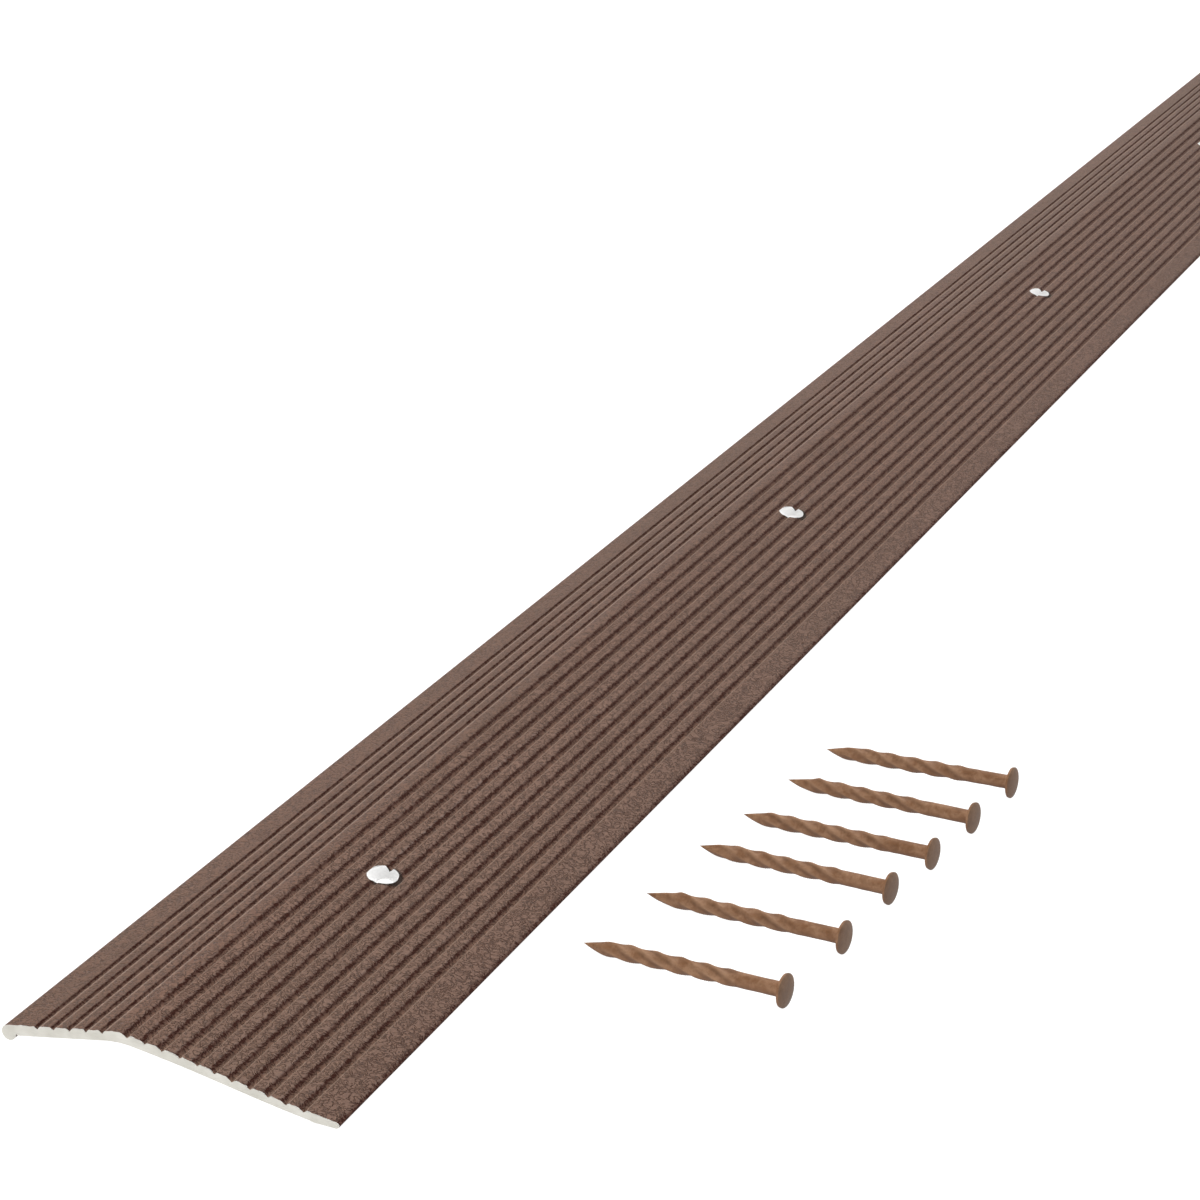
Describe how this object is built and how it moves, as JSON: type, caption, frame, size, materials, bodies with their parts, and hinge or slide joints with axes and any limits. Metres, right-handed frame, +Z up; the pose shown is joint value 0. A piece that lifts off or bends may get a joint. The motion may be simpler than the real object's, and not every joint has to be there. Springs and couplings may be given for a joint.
{
  "type": "threshold strip",
  "caption": "Fluted aluminium floor threshold bar, low peaked section with a beaded edge and a tapered foot, countersunk nail holes, and its loose twisted screw nails.",
  "frame": {"origin": "on the floor, at the bar's mid-length, in the middle of the flat under its tapered foot", "axes": "+Z up; +Y along the bar; +X across it, from the beaded edge over the ridge to the foot and on to the loose nails"},
  "size_m": [0.0994, 0.9144, 0.0057],
  "materials": {
    "painted_bar": "satin",
    "painted_nail": "matte"
  },
  "bodies": {
    "bar": {"threshold_bar": "painted_bar"},
    "nail_1": {"screw_nail_1": "painted_nail"},
    "nail_2": {"screw_nail_2": "painted_nail"},
    "nail_3": {"screw_nail_3": "painted_nail"},
    "nail_4": {"screw_nail_4": "painted_nail"},
    "nail_5": {"screw_nail_5": "painted_nail"},
    "nail_6": {"screw_nail_6": "painted_nail"}
  },
  "joints": [
    {"name": "nail_1_lift", "type": "slide", "parent": "bar", "child": "nail_1", "axis": [0, 0, 1], "range_m": [0, 0.05]},
    {"name": "nail_2_lift", "type": "slide", "parent": "bar", "child": "nail_2", "axis": [0, 0, 1], "range_m": [0, 0.05]},
    {"name": "nail_3_lift", "type": "slide", "parent": "bar", "child": "nail_3", "axis": [0, 0, 1], "range_m": [0, 0.05]},
    {"name": "nail_4_lift", "type": "slide", "parent": "bar", "child": "nail_4", "axis": [0, 0, 1], "range_m": [0, 0.05]},
    {"name": "nail_5_lift", "type": "slide", "parent": "bar", "child": "nail_5", "axis": [0, 0, 1], "range_m": [0, 0.05]},
    {"name": "nail_6_lift", "type": "slide", "parent": "bar", "child": "nail_6", "axis": [0, 0, 1], "range_m": [0, 0.05]}
  ]
}
